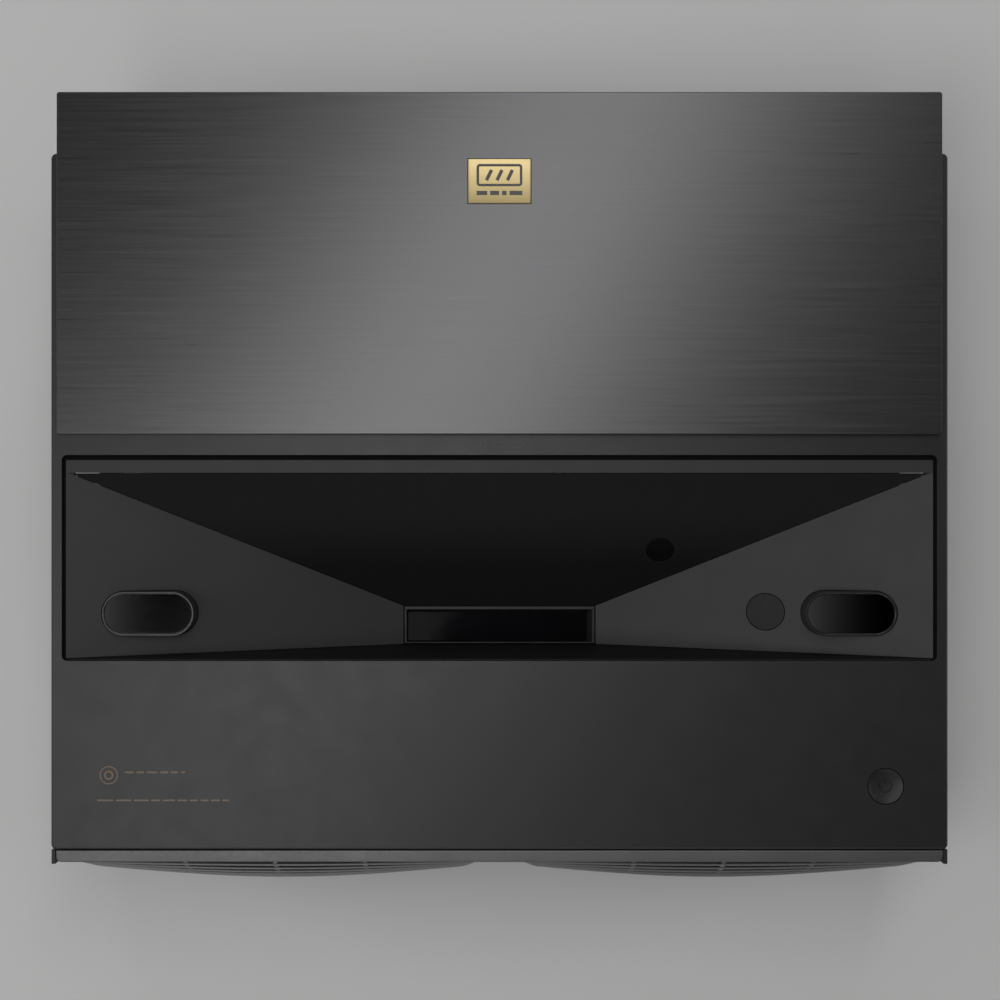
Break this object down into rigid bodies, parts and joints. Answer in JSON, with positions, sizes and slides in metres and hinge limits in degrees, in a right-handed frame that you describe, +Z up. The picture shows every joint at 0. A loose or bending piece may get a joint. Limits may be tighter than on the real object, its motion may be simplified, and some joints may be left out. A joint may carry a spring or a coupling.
{
  "type": "home projector",
  "caption": "Ultra-short-throw home projector: a low wide case with a motorised sliding cover over its lens well, front grille and levelling feet.",
  "frame": {"origin": "under the middle of the whole object, on the surface it stands on, with the cover open", "axes": "+X to the right as seen by the viewers in front of it facing the wall, +Y to the rear and the wall, +Z up"},
  "size_m": [0.5, 0.4488, 0.157],
  "materials": {
    "case_grey": "satin moulded plastic with a fine spark-eroded grain",
    "pan_steel": "black powder-coated sheet steel",
    "shell_black": "matt moulded plastic",
    "bar_metal": "bead-blasted anodised aluminium",
    "grille_grey": "satin moulded ribs",
    "board_black": "dull black painted board",
    "well_grey": "matt moulded plastic",
    "ramp_black": "light-absorbing matt black",
    "gloss_black": "polished infrared-clear plastic",
    "window_black": "satin black moulding",
    "lens_glass": "coated dark optical glass",
    "cover_metal": "dark anodised, brushed along its width",
    "badge_gold": "satin gold plate",
    "drive_steel": "machined steel",
    "nut_brass": "turned brass",
    "button_grey": "satin moulded plastic",
    "circuit_green": "solder-masked circuit board with fitted parts",
    "barrel_black": "black anodised barrel",
    "gear_plastic": "moulded gear plastic",
    "mirror_coat": "front-coated mirror",
    "cast_metal": "die-cast, as cast",
    "phosphor": "phosphor ring on a polished wheel",
    "laser_brass": "nickel-gold plated block",
    "fin_metal": "extruded fins",
    "speaker_black": "black painted steel basket and magnet",
    "cone_black": "pressed fibre cone with a rubber edge",
    "fan_black": "glass-filled moulded plastic",
    "supply_metal": "folded tray with wound and canned parts",
    "foot_rubber": "moulded rubber"
  },
  "bodies": {
    "chassis": {"top_case": "case_grey", "base_pan": "pan_steel", "side_panel_left": "shell_black", "side_panel_right": "shell_black", "rear_panel": "shell_black", "trim_bar": "bar_metal", "front_grille": "grille_grey", "speaker_baffle": "board_black", "well_tray": "well_grey", "light_ramp": "ramp_black", "ramp_sensor": "gloss_black", "well_front_wall": "ramp_black", "window_frame": "window_black", "window_glass": "lens_glass", "sensor_boss_left": "window_black", "sensor_boss_right": "window_black", "sensor_lens_left": "gloss_black", "sensor_lens_right": "gloss_black", "receiver_window": "gloss_black", "guide_rod_left": "drive_steel", "guide_rod_right": "drive_steel", "cover_motor": "drive_steel", "screw_bearing": "nut_brass", "power_switch": "circuit_green", "lens_barrel": "barrel_black", "focus_motor": "drive_steel", "projection_mirror": "mirror_coat", "engine_housing": "cast_metal", "laser_bank": "laser_brass", "laser_heatsink": "fin_metal", "speaker_left": "speaker_black", "speaker_right": "speaker_black", "fan_frame_left": "fan_black", "fan_frame_right": "fan_black", "main_board": "circuit_green", "mains_inlet": "shell_black", "power_supply": "supply_metal"},
    "cover": {"cover_plate": "cover_metal", "cover_badge": "badge_gold", "cover_carrier": "shell_black", "cover_bracket_left": "drive_steel", "cover_bracket_right": "drive_steel", "screw_nut": "nut_brass"},
    "lead_screw": {"lead_screw": "drive_steel"},
    "power_button": {"power_button": "button_grey"},
    "cone_left": {"speaker_cone_left": "cone_black"},
    "cone_right": {"speaker_cone_right": "cone_black"},
    "focus_ring": {"focus_ring": "barrel_black"},
    "focus_pinion": {"focus_pinion": "gear_plastic"},
    "phosphor_wheel": {"phosphor_wheel": "phosphor"},
    "fan_rotor_left": {"fan_rotor_left": "fan_black"},
    "fan_rotor_right": {"fan_rotor_right": "fan_black"},
    "foot_pad_front_left": {"foot_pad_front_left": "foot_rubber"},
    "foot_stud_front_left": {"foot_stud_front_left": "drive_steel"},
    "foot_pad_front_right": {"foot_pad_front_right": "foot_rubber"},
    "foot_stud_front_right": {"foot_stud_front_right": "drive_steel"},
    "foot_pad_rear_left": {"foot_pad_rear_left": "foot_rubber"},
    "foot_stud_rear_left": {"foot_stud_rear_left": "drive_steel"},
    "foot_pad_rear_right": {"foot_pad_rear_right": "foot_rubber"},
    "foot_stud_rear_right": {"foot_stud_rear_right": "drive_steel"}
  },
  "joints": [
    {"name": "cover_slide", "type": "slide", "parent": "chassis", "child": "cover", "axis": [0, -1, 0], "range_m": [0, 0.129]},
    {"name": "screw_turn", "type": "hinge", "parent": "chassis", "child": "lead_screw", "pos_m": [-0.206, 0.09741, 0.126], "axis": [0, 1, 0], "continuous": true},
    {"name": "power_press", "type": "slide", "parent": "chassis", "child": "power_button", "axis": [0, 0, -1], "range_m": [0, 0.001], "stiffness_N_per_m": 1200, "springref_m": -0.0005},
    {"name": "cone_left_travel", "type": "slide", "parent": "chassis", "child": "cone_left", "axis": [0, -1, 0], "range_m": [-0.0015, 0.0015], "stiffness_N_per_m": 2500},
    {"name": "cone_right_travel", "type": "slide", "parent": "chassis", "child": "cone_right", "axis": [0, -1, 0], "range_m": [-0.0015, 0.0015], "stiffness_N_per_m": 2500},
    {"name": "focus_turn", "type": "hinge", "parent": "chassis", "child": "focus_ring", "pos_m": [0, -0.01459, 0.062], "axis": [0, 1, 0], "range_deg": [-15, 15]},
    {"name": "focus_pinion_turn", "type": "hinge", "parent": "chassis", "child": "focus_pinion", "pos_m": [0.03715, -0.01459, 0.062], "axis": [0, 1, 0], "range_deg": [-78, 78]},
    {"name": "phosphor_spin", "type": "hinge", "parent": "chassis", "child": "phosphor_wheel", "pos_m": [-0.018, 0.09741, 0.074], "axis": [0, 1, 0], "continuous": true},
    {"name": "fan_left_spin", "type": "hinge", "parent": "chassis", "child": "fan_rotor_left", "pos_m": [-0.2322, 0.07541, 0.066], "axis": [1, 0, 0], "continuous": true},
    {"name": "fan_right_spin", "type": "hinge", "parent": "chassis", "child": "fan_rotor_right", "pos_m": [0.2322, 0.07541, 0.066], "axis": [1, 0, 0], "continuous": true},
    {"name": "foot_front_left_height", "type": "slide", "parent": "chassis", "child": "foot_pad_front_left", "axis": [0, 0, -1], "range_m": [0, 0.008]},
    {"name": "foot_front_left_turn", "type": "hinge", "parent": "foot_pad_front_left", "child": "foot_stud_front_left", "pos_m": [-0.205, -0.15159, 0.015], "axis": [0, 0, 1], "range_deg": [0, 2304]},
    {"name": "foot_front_right_height", "type": "slide", "parent": "chassis", "child": "foot_pad_front_right", "axis": [0, 0, -1], "range_m": [0, 0.008]},
    {"name": "foot_front_right_turn", "type": "hinge", "parent": "foot_pad_front_right", "child": "foot_stud_front_right", "pos_m": [0.205, -0.15159, 0.015], "axis": [0, 0, 1], "range_deg": [0, 2304]},
    {"name": "foot_rear_left_height", "type": "slide", "parent": "chassis", "child": "foot_pad_rear_left", "axis": [0, 0, -1], "range_m": [0, 0.008]},
    {"name": "foot_rear_left_turn", "type": "hinge", "parent": "foot_pad_rear_left", "child": "foot_stud_rear_left", "pos_m": [-0.205, 0.14641, 0.015], "axis": [0, 0, 1], "range_deg": [0, 2304]},
    {"name": "foot_rear_right_height", "type": "slide", "parent": "chassis", "child": "foot_pad_rear_right", "axis": [0, 0, -1], "range_m": [0, 0.008]},
    {"name": "foot_rear_right_turn", "type": "hinge", "parent": "foot_pad_rear_right", "child": "foot_stud_rear_right", "pos_m": [0.205, 0.14641, 0.015], "axis": [0, 0, 1], "range_deg": [0, 2304]}
  ],
  "couplings": [
    {"joint": "screw_turn", "follows": "cover_slide", "rad_per_m": 785.4},
    {"joint": "focus_pinion_turn", "follows": "focus_turn", "ratio": -5.1667},
    {"joint": "foot_front_left_turn", "follows": "foot_front_left_height", "rad_per_m": 5026.5},
    {"joint": "foot_front_right_turn", "follows": "foot_front_right_height", "rad_per_m": 5026.5},
    {"joint": "foot_rear_left_turn", "follows": "foot_rear_left_height", "rad_per_m": 5026.5},
    {"joint": "foot_rear_right_turn", "follows": "foot_rear_right_height", "rad_per_m": 5026.5}
  ]
}
